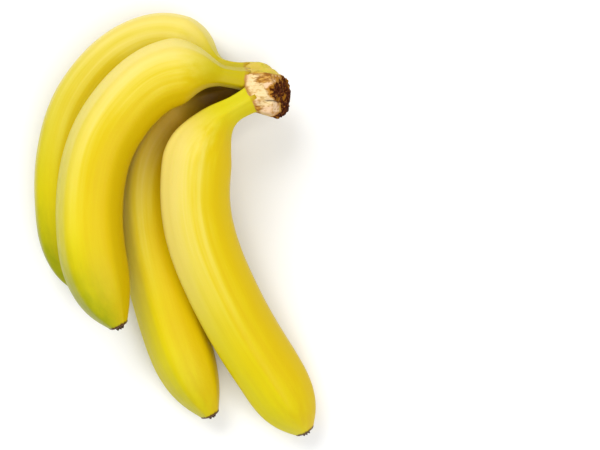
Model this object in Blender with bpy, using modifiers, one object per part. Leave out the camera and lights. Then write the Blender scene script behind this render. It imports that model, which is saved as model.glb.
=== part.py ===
"""A bunch of four ripe bananas lying on its side, joined at one crown.

Two fingers lie on the table and two lie on them. Seen from above, +Y runs along the bunch from the
blossom ends up to the crown, +X points out through the crown's cut end, and +Z is up. The origin is
the middle of the bunch's bounding box on the table. Lengths below are in millimetres.
"""

import math
from typing import NamedTuple

import bmesh
import bpy
from mathutils import Matrix, Vector

BUNCH = "bunch_of_bananas"
MM = 0.001
GAP = 0.3

# Along every finger: a slim neck, a shoulder that widens to the belly, and a blunt blossom end.
TAPER_LENGTH = 48.0
BELLY_SLIMMING = 0.03
TIP_RADIUS = 5.0
STATIONS = 24
END_CROWDING = 0.09

# Across every finger: five soft ridges with flatter sides between them.
RIDGES = 5
RIDGE_HEIGHT = 0.035
SMOOTHING = 1

BLOSSOM_RADIUS = 3.8
BLOSSOM_END_RADIUS = 3.0
BLOSSOM_LENGTH = 1.6

# The crown is a wedge of stem between the four necks and one knife cut, which leans to face upward.
CUT_CENTRE = Vector((57.0, 70.5, 36.0))
CUT_HALF_WIDTH = 12.0
CUT_HALF_HEIGHT = 15.0
CUT_LEAN = math.radians(20)
CUT_TURN = math.radians(-4)
STUB_LENGTH = 3.5
STUB_ROOT = 3.0
STUB_FLARE = 0.4
ROUND_SIDES = 16


class Finger(NamedTuple):
    """One banana: its centre line from the crown to the blossom end, and its proportions."""

    place: str
    route: tuple
    neck: float
    neck_length: float
    shoulder_length: float
    belly: float
    tip_fullness: float
    ridge_turn: float
    skin: tuple


FINGERS = (
    Finger(
        place="left_bottom",
        route=(
            (37, 85, 28), (27, 86, 27), (17, 90.5, 24), (5, 98.5, 20), (-13, 102, 18.1), (-36, 91, 18.1),
            (-56, 66, 18.1), (-65, 33, 18.1), (-64.5, 0, 18.1), (-61, -23, 17.2), (-56, -36, 15.8),
        ),
        neck=5.2,
        neck_length=14.0,
        shoulder_length=28.0,
        belly=18.7,
        tip_fullness=2.8,
        ridge_turn=math.radians(29),
        skin=(0.84, 0.68, 0.035),
    ),
    Finger(
        place="left_top",
        route=(
            (37, 79.4, 41.8), (25, 81, 43.5), (10, 84, 47), (-9, 80.5, 49.5), (-26, 66.5, 51), (-41, 43, 52),
            (-47, 15, 52), (-46, -14, 51.5), (-40, -37, 50), (-31.5, -55.8, 48),
        ),
        neck=5.8,
        neck_length=11.0,
        shoulder_length=28.0,
        belly=19.4,
        tip_fullness=2.9,
        ridge_turn=math.radians(15),
        skin=(0.82, 0.63, 0.035),
    ),
    Finger(
        place="right_bottom",
        route=(
            (37, 73.5, 28), (26, 73, 27), (11, 67.5, 21.5), (-4.5, 55, 18.3), (-15, 38, 18.3),
            (-19, 18, 18.3), (-17, -8, 18.2), (-10.5, -36, 18), (-2.3, -63, 18), (7, -87, 17),
            (17, -108.2, 14.5),
        ),
        neck=5.5,
        neck_length=13.0,
        shoulder_length=28.0,
        belly=18.8,
        tip_fullness=2.6,
        ridge_turn=math.radians(2),
        skin=(0.85, 0.70, 0.045),
    ),
    Finger(
        place="right_top",
        route=(
            (41.5, 68, 46), (34, 64, 46), (24.4, 58, 46), (17.4, 48, 46.5), (11.9, 34.7, 46.5),
            (10.5, 11.5, 45), (14.8, -12, 42), (25.2, -38, 36.5), (38.5, -64, 27.4), (54, -89, 18.7),
            (70.6, -117.6, 13.5),
        ),
        neck=6.8,
        neck_length=9.0,
        shoulder_length=39.5,
        belly=19.9,
        tip_fullness=3.4,
        ridge_turn=math.radians(-18),
        skin=(0.86, 0.69, 0.05),
    ),
)


def clear_scene():
    """Remove whatever objects the scene holds."""
    for old in list(bpy.data.objects):
        bpy.data.objects.remove(old, do_unlink=True)


def new_collection(name):
    """Return an empty collection of this name, linked to the scene."""
    made = bpy.data.collections.new(name)
    bpy.context.scene.collection.children.link(made)
    return made


def new_material(name, colour, roughness):
    """Return a Principled material of one colour."""
    made = bpy.data.materials.new(name)
    made.use_nodes = True
    shader = made.node_tree.nodes["Principled BSDF"]
    shader.inputs["Base Color"].default_value = (*colour, 1.0)
    shader.inputs["Roughness"].default_value = roughness
    shader.inputs["Metallic"].default_value = 0.0
    return made


def between(start, end, share):
    """Return the value this share of the way from start to end."""
    return start + (end - start) * share


def smooth_step(share):
    """Return 0 up to share 0, 1 from share 1, and an S-curve between."""
    held = min(max(share, 0.0), 1.0)
    return held * held * (3.0 - 2.0 * held)


def spline_points(route, steps=24):
    """Return close points along the Catmull-Rom curve through the route, in millimetres."""
    knots = [Vector(point) for point in route]
    knots = [2 * knots[0] - knots[1], *knots, 2 * knots[-1] - knots[-2]]
    points = []
    for before, start, end, after in zip(knots, knots[1:], knots[2:], knots[3:]):
        for step in range(steps):
            t = step / steps
            linear = (end - before) * t
            square = (2 * before - 5 * start + 4 * end - after) * t**2
            cube = (3 * start - before - 3 * end + after) * t**3
            points.append(start + (linear + square + cube) / 2)
    return [*points, knots[-2]]


def centre_line(finger):
    """Return (distance from the crown, point) at each station along a finger."""
    fine = spline_points(finger.route)
    travelled = [0.0]
    for start, end in zip(fine, fine[1:]):
        travelled.append(travelled[-1] + (end - start).length)
    length = travelled[-1]
    stations = []
    segment = 0
    for index in range(STATIONS + 1):
        # Stations crowd towards both ends, where the radius changes fastest.
        share = index / STATIONS
        wanted = length * (share - END_CROWDING * math.sin(math.tau * share))
        while segment < len(fine) - 2 and travelled[segment + 1] < wanted:
            segment += 1
        inside = (wanted - travelled[segment]) / (travelled[segment + 1] - travelled[segment])
        stations.append((wanted, fine[segment].lerp(fine[segment + 1], inside)))
    return stations


def radius_at(finger, distance, length):
    """Return a finger's radius at this distance from the crown, in millimetres."""
    belly = finger.belly * (1.0 - BELLY_SLIMMING * distance / length)
    grown = smooth_step((distance - finger.neck_length) / finger.shoulder_length)
    radius = between(finger.neck, belly, grown)
    used = max(1.0 - (length - distance) / TAPER_LENGTH, 0.0)
    return between(radius, TIP_RADIUS, used**finger.tip_fullness)


def ridged_profile(guides):
    """Return the hidden cross-section that every finger is swept with, one unit in radius."""
    curve = bpy.data.curves.new("finger_section", "CURVE")
    curve.dimensions = "2D"
    curve.fill_mode = "NONE"
    spline = curve.splines.new("POLY")
    corners = 2 * RIDGES
    spline.points.add(corners - 1)
    for index, point in enumerate(spline.points):
        angle = -math.tau * index / corners
        reach = MM * (1.0 + RIDGE_HEIGHT * math.cos(RIDGES * angle))
        point.co = (reach * math.cos(angle), reach * math.sin(angle), 0.0, 1.0)
    spline.use_cyclic_u = True
    profile = bpy.data.objects.new("finger_section", curve)
    profile.hide_render = True
    profile.display_type = "WIRE"
    guides.objects.link(profile)
    return profile


def make_finger(finger, profile, bunch):
    """Sweep the ridged section along a finger's centre line and smooth it."""
    name = f"banana_{finger.place}"
    curve = bpy.data.curves.new(name, "CURVE")
    curve.dimensions = "3D"
    curve.twist_mode = "Z_UP"
    curve.bevel_mode = "OBJECT"
    curve.bevel_object = profile
    curve.use_fill_caps = True
    stations = centre_line(finger)
    length = stations[-1][0]
    spline = curve.splines.new("POLY")
    spline.points.add(len(stations) - 1)
    for point, (distance, place) in zip(spline.points, stations):
        point.co = (*(place * MM), 1.0)
        point.radius = radius_at(finger, distance, length)
        point.tilt = finger.ridge_turn
    made = bpy.data.objects.new(name, curve)
    made.data.materials.append(new_material(f"peel_{finger.place}", finger.skin, 0.42))
    weld = made.modifiers.new("weld caps", "WELD")
    weld.merge_threshold = 0.00001
    smoothing = made.modifiers.new("smooth", "SUBSURF")
    smoothing.levels = SMOOTHING
    smoothing.render_levels = SMOOTHING
    bunch.objects.link(made)
    return made


def facing(direction):
    """Return the rotation that turns +Z to this direction."""
    return direction.to_track_quat("Z", "Y").to_matrix().to_4x4()


def object_from(shape, name, collection):
    """Turn a bmesh into an object of this collection."""
    mesh = bpy.data.meshes.new(name)
    shape.to_mesh(mesh)
    shape.free()
    made = bpy.data.objects.new(name, mesh)
    collection.objects.link(made)
    return made


def make_blossom_end(finger, dried, bunch):
    """Set the dried remnant of the flower on a finger's tip."""
    stations = centre_line(finger)
    tip = stations[-1][1]
    along = (tip - stations[-2][1]).normalized()
    shape = bmesh.new()
    bmesh.ops.create_cone(
        shape,
        cap_ends=True,
        segments=ROUND_SIDES,
        radius1=BLOSSOM_RADIUS * MM,
        radius2=BLOSSOM_END_RADIUS * MM,
        depth=BLOSSOM_LENGTH * MM,
    )
    made = object_from(shape, f"blossom_end_{finger.place}", bunch)
    made.data.shade_smooth()
    made.data.set_sharp_from_angle(angle=math.radians(35))
    made.data.materials.append(dried)
    centre = tip + along * (GAP + BLOSSOM_LENGTH / 2)
    made.matrix_world = Matrix.Translation(centre * MM) @ facing(along)
    return made


def add_disc(shape, centre, direction, half_width, half_height):
    """Add the points of an ellipse that faces a direction, in millimetres."""
    place = Matrix.Translation(centre * MM) @ facing(direction)
    stretch = Matrix.Diagonal((half_width * MM, half_height * MM, MM, 1.0))
    bmesh.ops.create_circle(shape, segments=ROUND_SIDES, radius=1.0, matrix=place @ stretch)


def seat_of(finger):
    """Return where a finger meets the crown, and the direction into the crown."""
    stations = centre_line(finger)
    seat = stations[0][1]
    inward = (seat - stations[1][1]).normalized()
    return seat + inward * GAP, inward


def make_stub(finger, guides):
    """Return the short stalk that carries one finger's neck, rooted inside the crown."""
    seat, inward = seat_of(finger)
    shape = bmesh.new()
    length = STUB_LENGTH + STUB_ROOT
    bmesh.ops.create_cone(
        shape,
        cap_ends=True,
        segments=ROUND_SIDES,
        radius1=finger.neck * MM,
        radius2=(finger.neck + STUB_FLARE) * MM,
        depth=length * MM,
        matrix=Matrix.Translation((seat + inward * length / 2) * MM) @ facing(inward),
    )
    stub = object_from(shape, f"stub_{finger.place}", guides)
    stub.hide_render = True
    stub.display_type = "WIRE"
    return stub


def make_crown(bunch, guides):
    """Wrap one convex solid between the stubs and the cut end, and join the stubs to it."""
    shape = bmesh.new()
    for finger in FINGERS:
        seat, inward = seat_of(finger)
        radius = finger.neck + STUB_FLARE
        add_disc(shape, seat + inward * STUB_LENGTH, inward, radius, radius)
    cut_facing = Vector((math.cos(CUT_LEAN), math.sin(CUT_TURN), math.sin(CUT_LEAN)))
    add_disc(shape, CUT_CENTRE, cut_facing, CUT_HALF_WIDTH, CUT_HALF_HEIGHT)
    wrapped = bmesh.ops.convex_hull(shape, input=shape.verts[:])
    inside = [part for part in wrapped["geom_interior"] if isinstance(part, bmesh.types.BMVert)]
    bmesh.ops.delete(shape, geom=inside, context="VERTS")
    bmesh.ops.recalc_face_normals(shape, faces=shape.faces[:])
    made = object_from(shape, "crown", bunch)
    made.data.materials.append(new_material("cut_stem", (0.50, 0.33, 0.16), 0.75))
    for finger in FINGERS:
        joined = made.modifiers.new(f"join stub {finger.place}", "BOOLEAN")
        joined.operation = "UNION"
        joined.object = make_stub(finger, guides)
        joined.object.parent = made
    return made


def stand_on_origin(pieces, bunch):
    """Hang every piece on one empty, with the middle of their box's underside at the origin."""
    anchor = bpy.data.objects.new("bunch_anchor", None)
    bunch.objects.link(anchor)
    for piece in pieces:
        piece.parent = anchor
    bpy.context.view_layer.update()
    graph = bpy.context.evaluated_depsgraph_get()
    corners = []
    for piece in pieces:
        evaluated = piece.evaluated_get(graph)
        mesh = evaluated.to_mesh()
        corners.extend(evaluated.matrix_world @ vertex.co for vertex in mesh.vertices)
        evaluated.to_mesh_clear()
    low = Vector(min(corner[axis] for corner in corners) for axis in range(3))
    high = Vector(max(corner[axis] for corner in corners) for axis in range(3))
    anchor.location = (-(low.x + high.x) / 2, -(low.y + high.y) / 2, -low.z)


def main():
    clear_scene()
    bunch = new_collection(BUNCH)
    guides = new_collection("guides")
    profile = ridged_profile(guides)
    dried = new_material("dried_flower", (0.045, 0.028, 0.016), 0.85)
    pieces = [make_crown(bunch, guides)]
    for finger in FINGERS:
        pieces.append(make_finger(finger, profile, bunch))
        pieces.append(make_blossom_end(finger, dried, bunch))
    stand_on_origin(pieces, bunch)


main()
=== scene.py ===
"""The looks of a bunch of four ripe bananas lying on its side on a pale table.

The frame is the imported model: +Y runs along the bunch up to the crown, +X points out through the
crown's cut end, +Z is up. Shapes are worked out in millimetres and scaled to metres on their way into
Blender. Every peel is a fine lofted skin; the crown is one lumpy stem; each blossom end is a dry stub.
"""

import math
from typing import NamedTuple

import bmesh
import bpy
import numpy as np
from mathutils import Matrix, Vector, noise


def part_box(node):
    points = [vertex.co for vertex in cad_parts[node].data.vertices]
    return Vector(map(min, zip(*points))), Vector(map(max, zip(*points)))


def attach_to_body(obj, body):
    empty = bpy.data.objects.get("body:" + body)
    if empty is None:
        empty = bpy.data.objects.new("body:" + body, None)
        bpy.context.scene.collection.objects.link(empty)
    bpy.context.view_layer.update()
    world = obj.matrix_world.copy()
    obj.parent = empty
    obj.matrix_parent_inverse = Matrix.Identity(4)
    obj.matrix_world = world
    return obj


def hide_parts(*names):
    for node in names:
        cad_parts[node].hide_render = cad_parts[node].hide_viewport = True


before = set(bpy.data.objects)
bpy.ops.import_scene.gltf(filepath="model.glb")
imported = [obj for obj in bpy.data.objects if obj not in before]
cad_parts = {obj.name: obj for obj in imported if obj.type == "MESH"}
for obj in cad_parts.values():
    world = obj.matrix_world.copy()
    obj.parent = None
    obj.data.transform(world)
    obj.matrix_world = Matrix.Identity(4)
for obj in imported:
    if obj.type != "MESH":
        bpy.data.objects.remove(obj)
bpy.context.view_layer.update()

MM = 0.001

# Along every finger, as in the part: a slim neck, a shoulder, the belly, and a blunt blossom end.
TAPER_LENGTH = 48.0
BELLY_SLIMMING = 0.03
TIP_RADIUS = 5.0
# The part's smoothed cross-section is this much slimmer than its nominal radius.
SLIMMING = 0.957
CENTRE_SPACING = 0.5
CENTRE_SMOOTHING = 5.0
NECK_ROOT = 2.5
NECK_FLARE = 0.14
NECK_FLARE_LENGTH = 3.5
TIP_FLARE = 0.10
TIP_FLARE_LENGTH = 0.8

# Inside a tight bend the rings crowd, so the skin is evened out there, except near the finger's ends.
EVENING_ROUNDS = 40
EVENING_FADE = 12.0
EVENING_FROM_NECK = 4.0
EVENING_FROM_TIP = 8.0

# The peel gives a little where it lies on the table.
TABLE_CLEARANCE = 0.02

# Five ridges run along every finger: crisp on the slim neck, soft on the belly, clearer near the tip.
# They stand out more outside the bend than inside it. They soften from a share of the neck's length on,
# over a share of the shoulder's length.
RIDGES = 5
RIDGE_NECK = 0.085
RIDGE_BELLY = 0.040
RIDGE_TIP = 0.058
RIDGE_TIP_LENGTH = 60.0
RIDGE_SOFTENS_FROM = 0.5
RIDGE_SOFTENS_OVER = 1.6
RIDGE_OUTWARD = 0.4
RIDGE_SHARPNESS = (1.0, 0.28, 0.10)

# Fineness of the skins. Rings crowd towards both ends, where the skin turns fastest.
RINGS = 250
SIDES = 110
CAP_RINGS = 7
RING_CROWDING = 0.10

# The skin is never quite even, though less so on the slim neck.
LUMP_SIZE = 34.0
LUMP_HEIGHT = 0.32
PORE_SIZE = 7.0
PORE_HEIGHT = 0.05
PORE_SEED = 40.0
LEAST_UNEVEN = 0.25

# Each tip ends in a narrow rolled rim round a shallow dish with radial wrinkles.
RIM_HEIGHT = 0.55
RIM_WIDTH = 0.3
DISH_DEPTH = 0.75
DISH_START = 0.12
DISH_WIDTH = 0.5
WRINKLES = 13
WRINKLE_HEIGHT = 0.10

# The dried remnant of the flower in the middle of each tip. Its foot is sunk in the dish.
BLOSSOM_GAP = 0.3
BLOSSOM_LENGTH = 1.6
BLOSSOM_RADIUS = 2.8
BLOSSOM_FOOT = 0.9
BLOSSOM_RINGS = 9
BLOSSOM_SIDES = 40
BLOSSOM_LUMP_SIZE = 1.1
BLOSSOM_LUMP_HEIGHT = 0.28
BLOSSOM_HOLLOW = 0.35

# The tones that a neck can take.
NECK_GREEN = (0.54, 0.52, 0.012)
NECK_GOLD = (0.42, 0.335, 0.001)


class Finger(NamedTuple):
    """One banana: its centre line from the crown to the blossom end, its proportions and its ripeness.

    The green, tint and brown fields are strengths from 0 to 1. The tip's green and the neck's brown also
    darken the peel as painted shade.
    """

    place: str
    route: tuple
    neck: float
    neck_length: float
    shoulder_length: float
    belly: float
    tip_fullness: float
    ridge_angle: float
    green_side: float
    green_and_shade_tip: float
    neck_tint: float
    brown_and_shade_neck: float
    neck_colour: tuple
    seed: float


# The routes are the part's own, before the bunch is stood on its origin.
FINGERS = (
    Finger(
        place="left_bottom",
        route=(
            (37, 85, 28), (27, 86, 27), (17, 90.5, 24), (5, 98.5, 20), (-13, 102, 18.1), (-36, 91, 18.1),
            (-56, 66, 18.1), (-65, 33, 18.1), (-64.5, 0, 18.1), (-61, -23, 17.2), (-56, -36, 15.8),
        ),
        neck=5.2,
        neck_length=14.0,
        shoulder_length=28.0,
        belly=18.7,
        tip_fullness=2.8,
        ridge_angle=math.radians(43),
        green_side=0.45,
        green_and_shade_tip=1.00,
        neck_tint=0.60,
        brown_and_shade_neck=0.00,
        neck_colour=NECK_GOLD,
        seed=1.7,
    ),
    Finger(
        place="left_top",
        route=(
            (37, 79.4, 41.8), (25, 81, 43.5), (10, 84, 47), (-9, 80.5, 49.5), (-26, 66.5, 51), (-41, 43, 52),
            (-47, 15, 52), (-46, -14, 51.5), (-40, -37, 50), (-31.5, -55.8, 48),
        ),
        neck=5.8,
        neck_length=11.0,
        shoulder_length=28.0,
        belly=19.4,
        tip_fullness=2.9,
        ridge_angle=math.radians(57),
        green_side=0.40,
        green_and_shade_tip=1.00,
        neck_tint=0.80,
        brown_and_shade_neck=0.00,
        neck_colour=NECK_GOLD,
        seed=5.1,
    ),
    Finger(
        place="right_bottom",
        route=(
            (37, 73.5, 28), (26, 73, 27), (11, 67.5, 21.5), (-4.5, 55, 18.3), (-15, 38, 18.3),
            (-19, 18, 18.3), (-17, -8, 18.2), (-10.5, -36, 18), (-2.3, -63, 18), (7, -87, 17),
            (17, -108.2, 14.5),
        ),
        neck=5.5,
        neck_length=13.0,
        shoulder_length=28.0,
        belly=18.8,
        tip_fullness=2.6,
        ridge_angle=math.radians(70),
        green_side=0.15,
        green_and_shade_tip=0.40,
        neck_tint=0.20,
        brown_and_shade_neck=0.90,
        neck_colour=NECK_GOLD,
        seed=9.4,
    ),
    Finger(
        place="right_top",
        route=(
            (41.5, 68, 46), (34, 64, 46), (24.4, 58, 46), (17.4, 48, 46.5), (11.9, 34.7, 46.5),
            (10.5, 11.5, 45), (14.8, -12, 42), (25.2, -38, 36.5), (38.5, -64, 27.4), (54, -89, 18.7),
            (70.6, -117.6, 13.5),
        ),
        neck=6.8,
        neck_length=9.0,
        shoulder_length=39.5,
        belly=19.9,
        tip_fullness=3.4,
        ridge_angle=math.radians(90),
        green_side=0.15,
        green_and_shade_tip=0.20,
        neck_tint=0.55,
        brown_and_shade_neck=0.00,
        neck_colour=NECK_GREEN,
        seed=13.8,
    ),
)


def between(start, end, share):
    """Return the value this share of the way from start to end."""
    return start + (end - start) * share


def smooth_step(share):
    """Return 0 up to share 0, 1 from share 1, and an S-curve between."""
    held = np.clip(share, 0.0, 1.0)
    return held * held * (3.0 - 2.0 * held)


def unit(rows):
    """Return each row scaled to length one."""
    return rows / np.linalg.norm(rows, axis=-1, keepdims=True)


def smoothed(points, spacing, reach):
    """Return points blurred along their line by this reach, with both ends held in place."""
    half = int(4 * reach / spacing)
    offsets = np.arange(-half, half + 1) * spacing
    weights = np.exp(-0.5 * (offsets / reach) ** 2)
    weights /= weights.sum()
    before = 2 * points[0] - points[half:0:-1]
    after = 2 * points[-1] - points[-2 : -half - 2 : -1]
    padded = np.concatenate([before, points, after])
    return np.stack([np.convolve(padded[:, axis], weights, "valid") for axis in range(3)], axis=1)


def spline_points(route, steps=60):
    """Return close points along the Catmull-Rom curve through the route."""
    knots = [np.array(point, float) for point in route]
    knots = [2 * knots[0] - knots[1], *knots, 2 * knots[-1] - knots[-2]]
    share = (np.arange(steps) / steps)[:, None]
    runs = []
    for before, start, end, after in zip(knots, knots[1:], knots[2:], knots[3:]):
        linear = (end - before) * share
        square = (2 * before - 5 * start + 4 * end - after) * share**2
        cube = (3 * start - before - 3 * end + after) * share**3
        runs.append(start + (linear + square + cube) / 2)
    return np.concatenate([*runs, [knots[-2]]])


def distances_along(points):
    """Return how far along its line each point is."""
    return np.concatenate([[0.0], np.cumsum(np.linalg.norm(np.diff(points, axis=0), axis=1))])


def resampled(points, wanted):
    """Return the points at these distances along a line."""
    travelled = distances_along(points)
    return np.stack([np.interp(wanted, travelled, points[:, axis]) for axis in range(3)], axis=1)


class CentreLine(NamedTuple):
    """A finger's centre line: distances from the crown, points, and the frame at each."""

    distance: np.ndarray
    point: np.ndarray
    tangent: np.ndarray
    side: np.ndarray
    up: np.ndarray


def centre_line(finger):
    """Return the smooth centre line of a finger. Its side points out of the finger's bend."""
    rough = spline_points(finger.route)
    even = resampled(rough, np.arange(0.0, distances_along(rough)[-1], CENTRE_SPACING))
    even = smoothed(np.concatenate([even, rough[-1:]]), CENTRE_SPACING, CENTRE_SMOOTHING)
    length = distances_along(even)[-1]
    share = np.linspace(0.0, 1.0, RINGS)
    wanted = length * (share - RING_CROWDING * np.sin(2 * math.pi * share))
    point = resampled(even, wanted)
    tangent = unit(np.gradient(point, wanted, axis=0))
    side = unit(np.cross(tangent, (0.0, 0.0, 1.0)))
    return CentreLine(wanted, point, tangent, side, np.cross(side, tangent))


def radius_along(finger, distance):
    """Return a finger's radius at each distance from the crown."""
    length = distance[-1]
    belly = finger.belly * (1.0 - BELLY_SLIMMING * distance / length)
    widened = smooth_step((distance - finger.neck_length) / finger.shoulder_length)
    radius = between(finger.neck, belly, widened)
    used = np.clip(1.0 - (length - distance) / TAPER_LENGTH, 0.0, 1.0)
    flare = NECK_FLARE * np.exp(-distance / NECK_FLARE_LENGTH)
    lip = TIP_FLARE * np.exp(-(length - distance) / TIP_FLARE_LENGTH)
    return SLIMMING * between(radius, TIP_RADIUS, used**finger.tip_fullness) * (1.0 + flare + lip)


def ridge_shape(angle):
    """Return the height of the ridges round a finger, from -1 between them to 1 on them."""
    total = sum(part * np.cos((rank + 1) * RIDGES * angle) for rank, part in enumerate(RIDGE_SHARPNESS))
    return total / sum(RIDGE_SHARPNESS)


def ridge_height_along(finger, distance):
    """Return how strong the ridges are at each distance from the crown, as a share of the radius."""
    length = distance[-1]
    start = RIDGE_SOFTENS_FROM * finger.neck_length
    grown = smooth_step((distance - start) / (RIDGE_SOFTENS_OVER * finger.shoulder_length))
    height = between(RIDGE_NECK, RIDGE_BELLY, grown)
    return between(height, RIDGE_TIP, smooth_step(1.0 - (length - distance) / RIDGE_TIP_LENGTH))


def noise_at(points, size, seed):
    """Return smooth noise at each point, about -1 to 1, with features of this size."""
    flat = points.reshape(-1, 3) / size + seed
    values = [noise.noise(Vector(row)) for row in flat]
    return np.array(values).reshape(points.shape[:-1])


def grid_faces(rings, sides):
    """Return the quads of a tube of rings, each joined to the next, facing out."""
    ring = np.arange(rings - 1)[:, None] * sides
    here = np.arange(sides)[None, :]
    after = (here + 1) % sides
    quads = np.stack([ring + here, ring + sides + here, ring + sides + after, ring + after], axis=-1)
    return quads.reshape(-1, 4).tolist()


def mesh_object(name, points, faces, values):
    """Return a smooth object from points in millimetres, with the values its material needs."""
    mesh = bpy.data.meshes.new(name)
    mesh.from_pydata((points * MM).tolist(), [], faces)
    for label, rows in values.items():
        kind = "FLOAT_VECTOR" if rows.ndim == 2 else "FLOAT"
        field = "vector" if rows.ndim == 2 else "value"
        layer = mesh.attributes.new(label, kind, "POINT")
        layer.data.foreach_set(field, rows.astype(np.float32).ravel())
    mesh.shade_smooth()
    mesh.update()
    made = bpy.data.objects.new(name, mesh)
    bpy.context.scene.collection.objects.link(made)
    return made


def ring_angles(sides):
    """Return the angles of the points of a ring; angle 0 points out of the finger's bend."""
    return np.arange(sides) * 2 * math.pi / sides


def inner_evening(line, radius, spoke, outward):
    """Return how far each point of a skin moves when its inner side is evened out along the finger."""
    rough = line.point[:, None] + radius[..., None] * spoke
    even = rough.copy()
    for _ in range(EVENING_ROUNDS):
        even[1:-1] = (even[:-2] + 2.0 * even[1:-1] + even[2:]) / 4.0
    to_tip = line.distance[-1] - line.distance
    crowded = smooth_step(-outward)[None, :, None]
    crowded = crowded * smooth_step((line.distance - EVENING_FROM_NECK) / EVENING_FADE)[:, None, None]
    crowded = crowded * smooth_step((to_tip - EVENING_FROM_TIP) / EVENING_FADE)[:, None, None]
    return crowded * (even - rough)


def uneven_radius(finger, line, radius, spoke):
    """Return the radius of a skin with its slight lumps and its pores."""
    rough = line.point[:, None] + radius[..., None] * spoke
    fade = np.clip(radius / finger.belly, LEAST_UNEVEN, 1.0)
    lumps = LUMP_HEIGHT * noise_at(rough, LUMP_SIZE, finger.seed)
    pores = PORE_HEIGHT * noise_at(rough, PORE_SIZE, finger.seed + PORE_SEED)
    return radius + fade * lumps + fade * pores


def peel_surface(finger, shift):
    """Return a finger's skin: its points, faces, and the values that colour it."""
    line = centre_line(finger)
    angle = ring_angles(SIDES)
    outward = np.cos(angle)
    ridge = np.broadcast_to(ridge_shape(angle - finger.ridge_angle), (RINGS, SIDES))
    strength = ridge_height_along(finger, line.distance)[:, None] * (1.0 + RIDGE_OUTWARD * outward)
    radius = radius_along(finger, line.distance)[:, None] * (1.0 + strength * ridge)
    spoke = outward[None, :, None] * line.side[:, None] + np.sin(angle)[None, :, None] * line.up[:, None]
    evening = inner_evening(line, radius, spoke, outward)
    radius = uneven_radius(finger, line, radius, spoke)
    # The neck runs on a little way into the crown.
    point = line.point.copy()
    point[0] -= line.tangent[0] * NECK_ROOT
    skin = point[:, None] + radius[..., None] * spoke + evening + shift
    skin[..., 2] = np.maximum(skin[..., 2], TABLE_CLEARANCE)
    along = np.broadcast_to(line.distance[:, None], radius.shape)
    values = {
        "from_neck": along,
        "to_tip": line.distance[-1] - along,
        "ridge": ridge,
        "outward": np.broadcast_to(outward, radius.shape),
        "inside_tip": np.zeros(radius.shape),
        "grain": np.stack([radius * np.cos(angle), radius * np.sin(angle), along], axis=-1),
    }
    return close_ends(skin, line, values, shift)


def close_ends(skin, line, values, shift):
    """Close a skin with a plain cap in the crown and a dished, wrinkled cap at the blossom end."""
    faces = grid_faces(RINGS, SIDES)
    points = [skin.reshape(-1, 3)]
    rows = {label: [kept.reshape(RINGS * SIDES, -1)] for label, kept in values.items()}
    tip = line.point[-1] + shift
    rim = skin[-1] - tip
    angle = ring_angles(SIDES)
    for ring in range(1, CAP_RINGS):
        share = ring / CAP_RINGS
        roll = RIM_HEIGHT * math.sin(math.pi * min(share / RIM_WIDTH, 1.0))
        dish = DISH_DEPTH * float(smooth_step((share - DISH_START) / DISH_WIDTH))
        wrinkle = WRINKLE_HEIGHT * np.cos(WRINKLES * angle + 2 * share) * math.sin(math.pi * share)
        height = (roll - dish + wrinkle)[:, None] * line.tangent[-1]
        points.append(tip + rim * (1.0 - share) + height)
        for label, kept in values.items():
            rows[label].append(kept[-1].reshape(SIDES, -1))
        rows["inside_tip"][-1] = np.full((SIDES, 1), share)
    start = (RINGS - 1) * SIDES
    faces += [[corner + start for corner in quad] for quad in grid_faces(CAP_RINGS, SIDES)]
    last = start + (CAP_RINGS - 1) * SIDES
    faces.append([last + corner for corner in range(SIDES)][::-1])
    faces.append(list(range(SIDES)))
    joined = {}
    for label, kept in rows.items():
        stacked = np.concatenate(kept)
        joined[label] = stacked if stacked.shape[1] == 3 else stacked[:, 0]
    return np.concatenate(points), faces, joined


def make_peel(finger, shift):
    """Return one banana's skin as a piece that stands for its node."""
    node = f"banana_{finger.place}"
    made = mesh_object(f"peel_{finger.place}", *peel_surface(finger, shift))
    made.data.materials.append(peel_material(finger))
    return attach(made, node)


def attach(piece, node):
    """Let a piece ride on the bunch and stand for its node, whose part is hidden."""
    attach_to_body(piece, "root")
    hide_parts(node)
    return piece


def tip_frame(finger, shift):
    """Return the middle of a finger's tip, and the direction out of it."""
    line = centre_line(finger)
    return line.point[-1] + shift, line.tangent[-1]


def make_blossom_end(finger, shift, dried):
    """Return the ragged dry stub in the middle of a finger's tip."""
    tip, out = tip_frame(finger, shift)
    across = unit(np.cross(out, (0.3, 0.2, 1.0)))
    over = np.cross(across, out)
    angle = ring_angles(BLOSSOM_SIDES)
    share = np.linspace(0.0, 1.0, BLOSSOM_RINGS)[:, None]
    # It narrows from its foot, and its top is torn.
    width = BLOSSOM_RADIUS * (1.15 - 0.55 * share**1.5)
    lobes = 1.0 + 0.13 * np.cos(3 * angle + finger.seed) + 0.09 * np.cos(7 * angle - 2 * finger.seed)
    torn = 1.0 + 0.20 * np.cos(5 * angle + finger.seed)
    height = -BLOSSOM_FOOT + (BLOSSOM_FOOT + BLOSSOM_GAP + BLOSSOM_LENGTH) * share * torn
    spoke = np.cos(angle)[:, None] * across + np.sin(angle)[:, None] * over
    skin = tip + (width * lobes)[..., None] * spoke + height[..., None] * out
    skin = skin + BLOSSOM_LUMP_HEIGHT * noise_at(skin, BLOSSOM_LUMP_SIZE, finger.seed)[..., None] * spoke
    peak = tip + out * (height[-1].mean() - BLOSSOM_HOLLOW)
    points = np.concatenate([skin.reshape(-1, 3), [peak]])
    faces = [quad[::-1] for quad in grid_faces(BLOSSOM_RINGS, BLOSSOM_SIDES)]
    last = (BLOSSOM_RINGS - 1) * BLOSSOM_SIDES
    for side in range(BLOSSOM_SIDES):
        faces.append([len(points) - 1, last + side, last + (side + 1) % BLOSSOM_SIDES])
    faces.append(list(range(BLOSSOM_SIDES)))
    made = mesh_object(f"dried_flower_{finger.place}", points, faces, {})
    fix_normals(made)
    made.data.materials.append(dried)
    return attach(made, f"blossom_end_{finger.place}")


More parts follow.
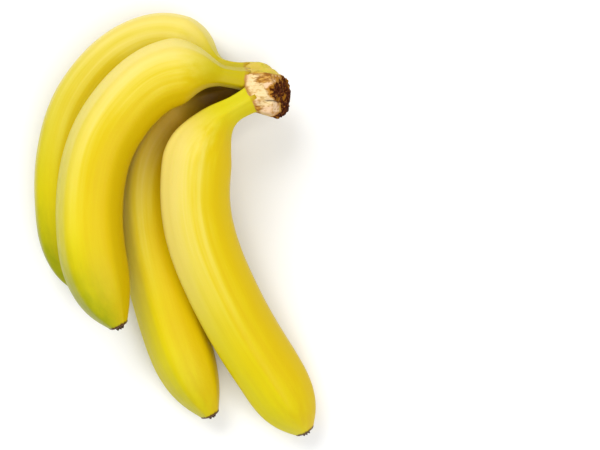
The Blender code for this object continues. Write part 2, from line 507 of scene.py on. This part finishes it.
def fix_normals(made):
    """Turn every face of a closed piece outward."""
    shape = bmesh.new()
    shape.from_mesh(made.data)
    bmesh.ops.recalc_face_normals(shape, faces=shape.faces[:])
    shape.to_mesh(made.data)
    shape.free()


# The crown, as in the part: a wedge of stem with one knife cut that leans to face upward.
CUT_HALF_WIDTH = 12.0
CUT_HALF_HEIGHT = 15.0
CUT_LEAN = math.radians(20)
CUT_TURN = math.radians(-4)
CUT_CORNERS = 11
ROOT_LENGTH = 9.0
ROOT_OVERLAP = 0.6
ROOT_WIDENING = 0.7
CROWN_VOXEL = 0.45
CROWN_ROUNDING = 5

# The crown's top block, at shares of its box: its back, left and front corners, its ridge, its foot.
CROWN_CORNERS = (
    (0.14, 0.76, 0.84),
    (0.28, 0.79, 0.86),
    (0.03, 0.50, 0.88),
    (0.12, 0.33, 0.96),
    (0.29, 0.10, 0.94),
    (0.40, 0.08, 0.76),
    (0.56, 0.74, 0.90),
    (0.62, 0.45, 0.97),
    (0.62, 0.06, 0.88),
    (0.22, 0.10, 0.44),
    (0.11, 0.22, 0.08),
    (0.11, 0.78, 0.08),
)
# Swellings where the necks of the lower bananas join: a place in the box, and radii.
SWELLINGS = (
    ((0.27, 0.79, 0.27), (9.5, 6.6, 8.5)),
    ((0.48, 0.67, 0.40), (8.0, 7.0, 8.5)),
    ((0.24, 0.40, 0.22), (7.5, 7.5, 7.0)),
)
# Scorched patches on the bark: a strength, a place in the box, and radii.
SCORCHES = (
    (1.3, (0.64, 0.70, 0.93), (9.5, 5.2, 12.0)),
    (1.3, (0.40, 0.64, 0.96), (8.0, 4.6, 9.0)),
    (0.6, (0.22, 0.77, 0.88), (8.0, 2.6, 7.0)),
    (0.7, (0.35, 0.17, 0.90), (5.5, 4.5, 8.0)),
)
# Bark covers the crown above this share of its height, and in front of this share of its length.
BARK_HEIGHT = 0.58
BARK_BACK = 0.74
# How far across the crown the burn begins, at shares of the crown's box from front to back.
BURN_ALONG = (0.00, 0.09, 0.11, 0.26, 0.28, 0.36, 0.48, 0.55, 0.66, 0.75)
BURN_START = (0.60, 0.72, 0.78, 0.78, 0.68, 0.58, 0.54, 0.66, 0.74, 0.82)
BURN_FADE = 4.5
CRACK_ALONG = 0.272
CRACK_START = 0.42
CRACK_FOOT = 0.4
CRACK_WIDTH = 0.42
SEAM_WIDTH = 0.9
# Bark stands a little proud of the stem and is fibrous; the burnt cut is torn into lumps and crumbs.
BARK_LIFT = 0.40
FIBRE_LIFT = 0.20
STEM_LUMPS = 0.35
CRACK_DEPTH = 0.5
TORN_LIFT = 0.60
CRUMB_LIFT = 0.45
CUT_DEPTH = 0.30


class Crown(NamedTuple):
    """Where the crown's features are: its box, the middle of its cut, and the way the cut faces."""

    low: np.ndarray
    size: np.ndarray
    cut: np.ndarray
    facing: np.ndarray

    def at(self, *shares):
        """Return the point at these shares of the crown's box."""
        return self.low + self.size * np.array(shares)


def crown_frame():
    """Read the crown's features from its box in the frame."""
    low, high = (np.array(corner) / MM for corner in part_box("crown"))
    rise = CUT_HALF_HEIGHT * math.cos(CUT_LEAN)
    lean = CUT_HALF_HEIGHT * math.sin(CUT_LEAN)
    cut = np.array((high[0] - lean, low[1] + CUT_HALF_WIDTH, low[2] + rise))
    facing = unit(np.array((math.cos(CUT_LEAN), math.sin(CUT_TURN), math.sin(CUT_LEAN))))
    return Crown(low, high - low, cut, facing)


def cut_outline(crown):
    """Return the rough outline of the knife cut."""
    across = unit(np.cross((0.0, 0.0, 1.0), crown.facing))
    over = np.cross(crown.facing, across)
    points = []
    for corner in range(CUT_CORNERS):
        angle = 2 * math.pi * corner / CUT_CORNERS + 0.15
        rough = 1.0 + 0.05 * math.sin(2.7 * corner + 0.6)
        wide = CUT_HALF_WIDTH * rough * math.cos(angle)
        high = CUT_HALF_HEIGHT * rough * math.sin(angle)
        points.append(crown.cut + across * wide + over * high)
    return points


def add_hull(shape, points):
    """Add the convex hull of points in millimetres to a bmesh in metres."""
    made = [shape.verts.new(Vector(point) * MM) for point in points]
    hull = bmesh.ops.convex_hull(shape, input=made)
    inside = [part for part in hull["geom_interior"] if isinstance(part, bmesh.types.BMVert)]
    bmesh.ops.delete(shape, geom=inside, context="VERTS")


def add_ellipsoid(shape, centre, radii):
    """Add an ellipsoid in millimetres to a bmesh in metres."""
    size = Matrix.Diagonal((*(Vector(radii) * MM), 1.0))
    place = Matrix.Translation(Vector(centre) * MM) @ size
    bmesh.ops.create_icosphere(shape, subdivisions=3, radius=1.0, matrix=place)


def add_root(shape, finger, shift):
    """Add the root of one neck: a short cone from just inside the neck into the crown."""
    line = centre_line(finger)
    inward = -line.tangent[0]
    middle = line.point[0] + shift + inward * (ROOT_LENGTH / 2 - ROOT_OVERLAP)
    turn = Vector(inward).to_track_quat("Z", "Y").to_matrix().to_4x4()
    bmesh.ops.create_cone(
        shape,
        cap_ends=True,
        segments=32,
        radius1=(finger.neck * 1.04) * MM,
        radius2=(finger.neck + ROOT_WIDENING) * MM,
        depth=ROOT_LENGTH * MM,
        matrix=Matrix.Translation(Vector(middle) * MM) @ turn,
    )


def crown_solid(crown, shift):
    """Return the plain shape of the crown as one fine mesh: a block, four roots and their swellings."""
    shape = bmesh.new()
    add_hull(shape, [*(crown.at(*corner) for corner in CROWN_CORNERS), *cut_outline(crown)])
    for place, radii in SWELLINGS:
        add_ellipsoid(shape, crown.at(*place), radii)
    for finger in FINGERS:
        add_root(shape, finger, shift)
    mesh = bpy.data.meshes.new("crown_plain")
    shape.to_mesh(mesh)
    shape.free()
    made = bpy.data.objects.new("crown_plain", mesh)
    bpy.context.scene.collection.objects.link(made)
    remesh = made.modifiers.new("one skin", "REMESH")
    remesh.mode = "VOXEL"
    remesh.voxel_size = CROWN_VOXEL * MM
    graph = bpy.context.evaluated_depsgraph_get()
    fine = bpy.data.meshes.new_from_object(made.evaluated_get(graph))
    bpy.data.objects.remove(made)
    return fine


def mesh_points(mesh):
    """Return a mesh's points in millimetres."""
    flat = np.empty(len(mesh.vertices) * 3)
    mesh.vertices.foreach_get("co", flat)
    return flat.reshape(-1, 3) / MM


def mesh_normals(mesh):
    """Return a mesh's normals at its points."""
    flat = np.empty(len(mesh.vertices) * 3)
    mesh.vertex_normals.foreach_get("vector", flat)
    return flat.reshape(-1, 3)


def set_points(mesh, points):
    """Move a mesh's points to these, in millimetres."""
    mesh.vertices.foreach_set("co", (points * MM).ravel())
    mesh.update()


def relaxed(mesh, points, rounds):
    """Return points evened out over a mesh's edges."""
    edges = np.empty(len(mesh.edges) * 2, np.int64)
    mesh.edges.foreach_get("vertices", edges)
    start, end = edges.reshape(-1, 2).T
    count = np.bincount(edges, minlength=len(points))[:, None]
    for _ in range(rounds):
        total = np.zeros_like(points)
        np.add.at(total, start, points[end])
        np.add.at(total, end, points[start])
        points = points + 0.5 * (total / count - points)
    return points


def near(points, centre, radii):
    """Return 1 at a place, falling smoothly to 0 this far from it along each axis."""
    return 1.0 - smooth_step(np.linalg.norm((points - centre) / radii, axis=1))


def neck_seams(points, shift):
    """Return 1 where the crown meets a neck, falling to 0 within about a millimetre."""
    seam = np.zeros(len(points))
    for finger in FINGERS:
        line = centre_line(finger)
        offset = points - line.point[0] - shift
        along = offset @ line.tangent[0]
        across = np.linalg.norm(offset - along[:, None] * line.tangent[0], axis=1)
        close = 1.0 - smooth_step((across - 1.3 * finger.neck) / 1.5)
        seam = np.maximum(seam, close * np.exp(-((along / SEAM_WIDTH) ** 2)))
    return seam


def crown_regions(crown, points, shift):
    """Return how far each point belongs to the bark, burn, singed skin, crack and neck seams."""
    ragged = noise_at(points, 3.4, 2.0) + 0.5 * noise_at(points, 1.4, 7.0)
    share = (points - crown.low) / crown.size
    height = (points[:, 2] - crown.at(0, 0, BARK_HEIGHT)[2]) / 3.0
    back = (crown.at(0, BARK_BACK, 0)[1] - points[:, 1]) / 1.6
    bark = smooth_step(0.5 + np.minimum(height, back) + 0.35 * ragged)
    start = np.interp(share[:, 1], BURN_ALONG, BURN_START)
    burn = 0.5 + (share[:, 0] - start) * crown.size[0] / BURN_FADE + 0.30 * ragged
    singed = sum(much * near(points, crown.at(*place), radii) for much, place, radii in SCORCHES)
    off_crack = (share[:, 1] - CRACK_ALONG) * crown.size[1] + 0.35 * ragged
    crack = np.exp(-((off_crack / CRACK_WIDTH) ** 2))
    crack = crack * smooth_step((share[:, 0] - CRACK_START) / 0.12)
    crack = crack * smooth_step((share[:, 2] - CRACK_FOOT) / 0.3)
    return {
        "bark": bark,
        "burn": np.clip(burn, -1.0, 1.2),
        "singed": np.clip(singed, 0.0, 1.0),
        "crack": crack,
        "seam": neck_seams(points, shift),
    }


def make_crown(shift):
    """Return the crown: dry bark on top, smooth stem below, and a rough burnt cut."""
    crown = crown_frame()
    mesh = crown_solid(crown, shift)
    points = relaxed(mesh, mesh_points(mesh), CROWN_ROUNDING)
    set_points(mesh, points)
    regions = crown_regions(crown, points, shift)
    bark, crack = regions["bark"], regions["crack"]
    char = smooth_step((regions["burn"] - 0.45) / 0.3)
    fibre = noise_at(points * (0.35, 1.0, 1.0), 1.3, 21.0)
    torn = 1.0 - 2.0 * np.abs(noise_at(points, 3.2, 31.0))
    crumb = noise_at(points, 1.5, 41.0)
    lift = BARK_LIFT * bark + FIBRE_LIFT * bark * fibre + STEM_LUMPS * noise_at(points, 6.0, 11.0)
    lift = lift - CRACK_DEPTH * crack + char * (TORN_LIFT * torn + CRUMB_LIFT * crumb - CUT_DEPTH)
    set_points(mesh, points + lift[:, None] * mesh_normals(mesh))
    for label, rows in regions.items():
        layer = mesh.attributes.new(label, "FLOAT", "POINT")
        layer.data.foreach_set("value", rows.astype(np.float32))
    mesh.shade_smooth()
    made = bpy.data.objects.new("crown_stem", mesh)
    bpy.context.scene.collection.objects.link(made)
    made.data.materials.clear()
    made.data.materials.append(crown_material())
    return attach(made, "crown")


class Looks:
    """A Principled material, with short calls that add to its node tree."""

    def __init__(self, name):
        self.material = bpy.data.materials.new(name)
        self.material.use_nodes = True
        self.tree = self.material.node_tree
        self.shader = self.tree.nodes["Principled BSDF"]

    def feed(self, socket, value):
        """Link a socket to another node's output, or set it to a plain value."""
        if isinstance(value, bpy.types.NodeSocket):
            self.tree.links.new(value, socket)
        else:
            socket.default_value = value

    def set(self, label, value):
        """Feed one input of the shader."""
        self.feed(self.shader.inputs[label], value)

    def attribute(self, label, output="Fac"):
        """Return a value or vector stored on the mesh."""
        made = self.tree.nodes.new("ShaderNodeAttribute")
        made.attribute_name = label
        return made.outputs[output]

    def place(self):
        """Return the point's place on the object, in metres."""
        return self.tree.nodes.new("ShaderNodeTexCoord").outputs["Object"]

    def stretched(self, vector, scale):
        """Return a vector scaled along each axis."""
        made = self.tree.nodes.new("ShaderNodeMapping")
        self.feed(made.inputs["Vector"], vector)
        made.inputs["Scale"].default_value = scale
        return made.outputs["Vector"]

    def noise(self, vector, scale, detail=2.0, roughness=0.5, seed=0.0):
        """Return smooth noise from 0 to 1."""
        made = self.tree.nodes.new("ShaderNodeTexNoise")
        made.noise_dimensions = "4D"
        self.feed(made.inputs["Vector"], vector)
        made.inputs["W"].default_value = seed
        made.inputs["Scale"].default_value = scale
        made.inputs["Detail"].default_value = detail
        made.inputs["Roughness"].default_value = roughness
        return made.outputs["Fac"]

    def math(self, operation, first, second=0.0, clamp=False):
        """Return one step of arithmetic."""
        made = self.tree.nodes.new("ShaderNodeMath")
        made.operation = operation
        made.use_clamp = clamp
        self.feed(made.inputs[0], first)
        self.feed(made.inputs[1], second)
        return made.outputs[0]

    def ramp(self, value, start, end, low=0.0, high=1.0):
        """Return a smooth change from low to high as a value goes from start to end."""
        made = self.tree.nodes.new("ShaderNodeMapRange")
        made.interpolation_type = "SMOOTHSTEP"
        self.feed(made.inputs["Value"], value)
        made.inputs["From Min"].default_value = start
        made.inputs["From Max"].default_value = end
        made.inputs["To Min"].default_value = low
        made.inputs["To Max"].default_value = high
        return made.outputs["Result"]

    def mix(self, share, first, second):
        """Return a colour this share of the way from the first to the second."""
        made = self.tree.nodes.new("ShaderNodeMix")
        made.data_type = "RGBA"
        self.feed(made.inputs["Factor"], share)
        for label, value in (("A", first), ("B", second)):
            socket = next(s for s in made.inputs if s.name == label and s.type == "RGBA")
            self.feed(socket, (*value, 1.0) if isinstance(value, tuple) else value)
        return next(s for s in made.outputs if s.type == "RGBA")

    def bump(self, height, distance, strength=1.0, below=None):
        """Return a normal raised by this height, over an earlier one."""
        made = self.tree.nodes.new("ShaderNodeBump")
        made.inputs["Distance"].default_value = distance
        made.inputs["Strength"].default_value = strength
        self.feed(made.inputs["Height"], height)
        if below is not None:
            self.feed(made.inputs["Normal"], below)
        return made.outputs["Normal"]


# Colours of the peel.
# Lemon is laid outside the bend and golden inside it as painted light and shade; golden also marks the
# ridges.
LEMON = (0.70, 0.585, 0.003)
GOLDEN = (0.635, 0.445, 0.001)
# A pale tone painted on the lit shoulders as sheen.
PAINTED_SHEEN_PALE = (0.78, 0.640, 0.175)
# Green of the less ripe sides and tips, dark enough to stand partly for painted shade at the tips.
GREEN = (0.33, 0.345, 0.001)
# Ochre and near-black brown for one neck: partly browner peel, partly painted shade under the bananas and
# crown above it.
OCHRE_AND_SHADE = (0.50, 0.262, 0.001)
SEAM_BROWN = (0.42, 0.18, 0.016)
DARK_NECK_AND_SHADE = (0.100, 0.044, 0.002)
RIM_BROWN = (0.085, 0.035, 0.010)
FLECK_BROWN = (0.42, 0.25, 0.030)
# Its finish. Light goes a few millimetres into it, red the farthest.
PEEL_SHEEN = 0.13
PEEL_ROUGHNESS = (0.36, 0.44)
PEEL_GLOW = 0.08
PEEL_GLOW_REACH = (0.004, 0.0022, 0.0004)
STREAK_RELIEF = 0.00008
SKIN_RELIEF = 0.00012


def peel_colour(looks, finger, streak, cloud, mottle):
    """Lemon outside the bend and golden inside it as painted light and shade, broken by random cloud and
    streaks; a painted pale sheen on the shoulder; greener at neck and tip, the tip's green partly painted
    shade; on one finger a brown neck that is partly painted shade.
    """
    to_tip = looks.attribute("to_tip")
    from_neck = looks.attribute("from_neck")
    outward = looks.attribute("outward")
    # The tone follows the side out of the bend, so the inner side is painted darker golden as shade, with
    # random cloud and streaks on top.
    tone = looks.math("ADD", outward, looks.math("MULTIPLY", cloud, 1.2))
    tone = looks.math("ADD", tone, looks.math("MULTIPLY", looks.math("SUBTRACT", streak, 0.35), 1.3))
    colour = looks.mix(looks.ramp(tone, 0.0, 1.4), GOLDEN, LEMON)
    # A painted pale sheen on the outer, lit side of the shoulder.
    shoulder = looks.math("MULTIPLY", looks.ramp(from_neck, 14.0, 40.0), looks.ramp(from_neck, 165.0, 70.0))
    painted_sheen_mask = looks.math("MULTIPLY", shoulder, looks.ramp(tone, 0.4, 1.6, 0.0, 0.85))
    colour = looks.mix(painted_sheen_mask, colour, PAINTED_SHEEN_PALE)
    ridge = looks.ramp(looks.attribute("ridge"), 0.55, 1.0, 0.0, 0.30)
    colour = looks.mix(looks.math("MULTIPLY", ridge, mottle), colour, GOLDEN)
    along_side = looks.ramp(to_tip, 160.0, 60.0, 0.0, finger.green_side)
    side = looks.math("MULTIPLY", looks.ramp(outward, 0.2, 1.0), along_side)
    # Greener tips, made strong enough to serve partly as painted shade where a neighbour shades the tip.
    along_tip = looks.ramp(to_tip, 62.0, 4.0, 0.0, finger.green_and_shade_tip)
    tip = looks.math("MULTIPLY", along_tip, looks.ramp(outward, -1.2, 0.8))
    patchy = looks.ramp(mottle, 0.25, 0.75, 0.75, 1.1)
    green = looks.math("MULTIPLY", looks.math("ADD", side, tip), patchy, clamp=True)
    colour = looks.mix(green, colour, GREEN)
    colour = looks.mix(looks.ramp(from_neck, 34.0, 8.0, 0.0, finger.neck_tint), colour, finger.neck_colour)
    ragged_neck = looks.math("ADD", from_neck, looks.math("MULTIPLY", mottle, 2.4))
    colour = looks.mix(looks.ramp(ragged_neck, 2.5, 1.0, 0.0, 0.6), colour, SEAM_BROWN)
    # Ochre up the finger and near-black brown at the neck: partly browner peel, partly painted shade under
    # the bananas and crown above it.
    if finger.brown_and_shade_neck > 0.0:
        colour = looks.mix(looks.ramp(from_neck, 105.0, 40.0, 0.0, 0.7 * finger.brown_and_shade_neck), colour, OCHRE_AND_SHADE)
        colour = looks.mix(looks.ramp(from_neck, 43.0, 17.0, 0.0, finger.brown_and_shade_neck), colour, DARK_NECK_AND_SHADE)
    return colour


def peel_material(finger):
    """Ripe peel with faint streaks, a few flecks, a waxy sheen, and a thin brown rim at the tip."""
    looks = Looks(f"ripe_peel_{finger.place}")
    grain = looks.attribute("grain", "Vector")
    streak = looks.noise(looks.stretched(grain, (1.0, 1.0, 0.03)), 0.30, 3.0, 0.55, finger.seed)
    cloud = looks.noise(looks.stretched(grain, (1.0, 1.0, 0.5)), 0.035, 2.0, 0.5, finger.seed + 3.0)
    mottle = looks.noise(looks.stretched(grain, (1.0, 1.0, 0.4)), 0.30, 4.0, 0.6, finger.seed + 6.0)
    colour = peel_colour(looks, finger, streak, cloud, mottle)
    flecks = looks.noise(grain, 1.9, 2.0, 0.5, finger.seed + 9.0)
    colour = looks.mix(looks.ramp(flecks, 0.73, 0.80, 0.0, 0.35), colour, FLECK_BROWN)
    ragged = looks.noise(grain, 0.9, 3.0, 0.6, finger.seed + 12.0)
    edge = looks.math("ADD", looks.attribute("to_tip"), looks.math("MULTIPLY", ragged, 2.4))
    rim = looks.ramp(edge, 2.6, 1.5)
    inside = looks.ramp(looks.attribute("inside_tip"), 0.0, 0.15)
    colour = looks.mix(looks.math("MAXIMUM", rim, inside), colour, RIM_BROWN)
    looks.set("Base Color", colour)
    looks.set("Roughness", looks.ramp(mottle, 0.3, 0.7, *PEEL_ROUGHNESS))
    looks.set("Specular IOR Level", PEEL_SHEEN)
    looks.set("Subsurface Weight", PEEL_GLOW)
    looks.set("Subsurface Radius", PEEL_GLOW_REACH)
    looks.set("Subsurface Scale", 1.0)
    lines = looks.bump(streak, STREAK_RELIEF)
    pores = looks.noise(grain, 0.9, 5.0, 0.65, finger.seed)
    looks.set("Normal", looks.bump(pores, SKIN_RELIEF, 0.8, lines))
    return looks.material


# Colours of the crown: cork on top, stem below, scorched and singed bark, and the burnt cut.
CORK = (0.82, 0.63, 0.325)
CORK_SHADE = (0.50, 0.27, 0.045)
CORK_PINK = (0.78, 0.535, 0.33)
STEM_TAN = (0.66, 0.47, 0.075)
STEM_YELLOW = (0.62, 0.52, 0.045)
SINGED = (0.42, 0.175, 0.010)
SCORCH_GOLD = (0.60, 0.31, 0.040)
SCORCH_BROWN = (0.27, 0.095, 0.006)
CHAR_BROWN = (0.034, 0.006, 0.001)
CHAR_RED = (0.105, 0.022, 0.003)
CHAR_COPPER = (0.46, 0.20, 0.030)


# Its finish: the burnt cut is duller than the bark, and both are in relief.
BARK_SHEEN = 0.12
CUT_SHEEN = 0.02
BLOTCH_RELIEF = 0.0006
FIBRE_RELIEF = 0.0005


def sound_colour(looks, fibre, blotch, cloud):
    """Pale cork where there is bark, tan stem where there is not, and brown seams."""
    bark = looks.attribute("bark")
    cork = looks.mix(looks.ramp(cloud, 0.42, 0.60), CORK, CORK_PINK)
    cork = looks.mix(looks.ramp(blotch, 0.50, 0.66, 0.0, 0.75), cork, CORK_SHADE)
    cork = looks.mix(looks.ramp(fibre, 0.51, 0.66, 0.0, 0.7), cork, CORK_SHADE)
    stem = looks.mix(looks.ramp(blotch, 0.40, 0.62), STEM_TAN, STEM_YELLOW)
    stem = looks.mix(looks.ramp(fibre, 0.60, 0.78, 0.0, 0.5), stem, SEAM_BROWN)
    colour = looks.mix(bark, stem, cork)
    inverse = looks.math("SUBTRACT", 1.0, bark)
    edge = looks.math("MULTIPLY", looks.math("MULTIPLY", bark, inverse), 3.4, clamp=True)
    seam = looks.math("MAXIMUM", edge, looks.math("MULTIPLY", looks.attribute("seam"), 0.85))
    return looks.mix(seam, colour, SEAM_BROWN)


def burnt_colour(looks, crumb, cloud):
    """Nearly black brown with dark red and copper crumbs."""
    burnt = looks.mix(looks.ramp(crumb, 0.42, 0.58), CHAR_BROWN, CHAR_RED)
    burnt = looks.mix(looks.ramp(crumb, 0.58, 0.66), burnt, CHAR_COPPER)
    return looks.mix(looks.ramp(cloud, 0.55, 0.66, 0.0, 0.7), burnt, SINGED)


def crown_material():
    """A stem of pale cork on top and tan skin below, singed towards a burnt cut end."""
    looks = Looks("crown_stem_and_cut")
    place = looks.place()
    fibre = looks.noise(looks.stretched(place, (0.30, 1.0, 1.0)), 800.0, 4.0, 0.65, 1.0)
    blotch = looks.noise(looks.stretched(place, (0.6, 1.0, 1.0)), 290.0, 4.0, 0.65, 2.0)
    crumb = looks.noise(place, 650.0, 3.0, 0.65, 3.0)
    cloud = looks.noise(place, 130.0, 2.0, 0.5, 4.0)
    colour = sound_colour(looks, fibre, blotch, cloud)
    uneven = looks.math("MULTIPLY", looks.math("SUBTRACT", blotch, 0.5), 2.4)
    uneven = looks.math("ADD", uneven, looks.math("MULTIPLY", looks.math("SUBTRACT", fibre, 0.5), 1.8))
    scorch = looks.mix(looks.ramp(fibre, 0.40, 0.60), SCORCH_GOLD, SCORCH_BROWN)
    brown = looks.ramp(looks.math("ADD", looks.attribute("singed"), uneven), 0.10, 1.05, 0.0, 0.95)
    colour = looks.mix(brown, colour, scorch)
    burn = looks.math("ADD", looks.attribute("burn"), looks.math("MULTIPLY", uneven, 0.45))
    colour = looks.mix(looks.ramp(burn, -0.10, 0.46, 0.0, 0.95), colour, SINGED)
    colour = looks.mix(looks.ramp(burn, 0.48, 0.62), colour, burnt_colour(looks, crumb, cloud))
    colour = looks.mix(looks.math("MULTIPLY", looks.attribute("crack"), 0.9), colour, CHAR_BROWN)
    looks.set("Base Color", colour)
    looks.set("Roughness", looks.ramp(blotch, 0.3, 0.7, 0.60, 0.80))
    looks.set("Specular IOR Level", looks.ramp(burn, 0.30, 0.60, BARK_SHEEN, CUT_SHEEN))
    coarse = looks.bump(blotch, BLOTCH_RELIEF)
    looks.set("Normal", looks.bump(fibre, FIBRE_RELIEF, 0.9, coarse))
    return looks.material


DRIED_BLACK = (0.030, 0.017, 0.009)
DRIED_BROWN = (0.16, 0.085, 0.035)


def dried_material():
    """Dry, nearly black plant matter with brown edges."""
    looks = Looks("dried_flower")
    place = looks.place()
    flaky = looks.noise(place, 900.0, 4.0, 0.6, 4.0)
    looks.set("Base Color", looks.mix(looks.ramp(flaky, 0.45, 0.72), DRIED_BLACK, DRIED_BROWN))
    looks.set("Roughness", looks.ramp(flaky, 0.3, 0.7, 0.75, 0.92))
    looks.set("Specular IOR Level", 0.3)
    looks.set("Normal", looks.bump(flaky, 0.0004))
    return looks.material


TABLE_WHITE = (0.93, 0.93, 0.93)
TABLE_SHADE = (0.90, 0.90, 0.90)
TABLE_HALF = 6.0


def floor_material():
    """A pale matt table top, very slightly uneven in tone."""
    looks = Looks("pale_table")
    place = looks.place()
    cloud = looks.noise(place, 3.0, 2.0, 0.5, 5.0)
    looks.set("Base Color", looks.mix(cloud, TABLE_WHITE, TABLE_SHADE))
    looks.set("Roughness", 0.9)
    looks.set("Specular IOR Level", 0.1)
    return looks.material


def make_floor():
    """Lay a wide pale table under the bunch."""
    corners = [(x * TABLE_HALF, y * TABLE_HALF, 0.0) for x, y in ((-1, -1), (1, -1), (1, 1), (-1, 1))]
    mesh = bpy.data.meshes.new("table_top")
    mesh.from_pydata(corners, [], [(0, 1, 2, 3)])
    floor = bpy.data.objects.new("table_top", mesh)
    bpy.context.scene.collection.objects.link(floor)
    floor.data.materials.append(floor_material())


WORLD_LIGHT = 0.50
LIGHT_TARGET = (0.0, 0.0, 0.03)


class Softbox(NamedTuple):
    """A large square light: its place and width in metres, and its power in watts."""

    name: str
    place: tuple
    width: float
    power: float


SOFTBOXES = (
    Softbox("key", (-0.90, 1.50, 1.80), 1.6, 39.0),
    Softbox("overhead", (0.45, -0.45, 1.30), 1.2, 12.5),
)


def add_softbox(box):
    """Add one softbox, turned towards the bunch."""
    lamp = bpy.data.lights.new(box.name, "AREA")
    lamp.shape = "SQUARE"
    lamp.size = box.width
    lamp.energy = box.power
    made = bpy.data.objects.new(box.name, lamp)
    made.location = box.place
    made.rotation_mode = "QUATERNION"
    made.rotation_quaternion = (Vector(LIGHT_TARGET) - Vector(box.place)).to_track_quat("-Z", "Y")
    bpy.context.scene.collection.objects.link(made)


def light_studio():
    """Light the table like a small product studio: a softbox up left, one at the right, bright walls."""
    world = bpy.data.worlds.new("studio")
    world.use_nodes = True
    background = world.node_tree.nodes["Background"]
    background.inputs["Color"].default_value = (1.0, 1.0, 1.0, 1.0)
    background.inputs["Strength"].default_value = WORLD_LIGHT
    bpy.context.scene.world = world
    for box in SOFTBOXES:
        add_softbox(box)
    bpy.context.scene.view_settings.view_transform = "Standard"


# The bunch lies left of the middle of the picture, seen from straight above. The place is in the
# routes' own millimetres.
CAMERA_PLACE = (67.6, -0.8, 960.0)
CAMERA_LENS = 100.0
CAMERA_SENSOR = 36.0


def add_camera(shift):
    """Look straight down on the bunch, with +Y up in the picture."""
    lens = bpy.data.cameras.new("camera")
    lens.lens = CAMERA_LENS
    lens.sensor_width = CAMERA_SENSOR
    lens.clip_start = 0.05
    lens.clip_end = 50.0
    camera = bpy.data.objects.new("camera", lens)
    camera.location = Vector(CAMERA_PLACE + shift) * MM
    bpy.context.scene.collection.objects.link(camera)
    bpy.context.scene.camera = camera


def bunch_shift():
    """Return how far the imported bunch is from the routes' own origin, from where its tips are."""
    found = []
    for finger in FINGERS:
        low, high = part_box(f"blossom_end_{finger.place}")
        tip, out = tip_frame(finger, np.zeros(3))
        expected = tip + out * (BLOSSOM_GAP + BLOSSOM_LENGTH / 2)
        found.append(np.array(low + high) / 2 / MM - expected)
    return np.mean(found, axis=0)


def main():
    """Build the bunch, the table, the lights and the camera."""
    shift = bunch_shift()
    dried = dried_material()
    for finger in FINGERS:
        make_peel(finger, shift)
        make_blossom_end(finger, shift, dried)
    make_crown(shift)
    make_floor()
    light_studio()
    add_camera(shift)


main()
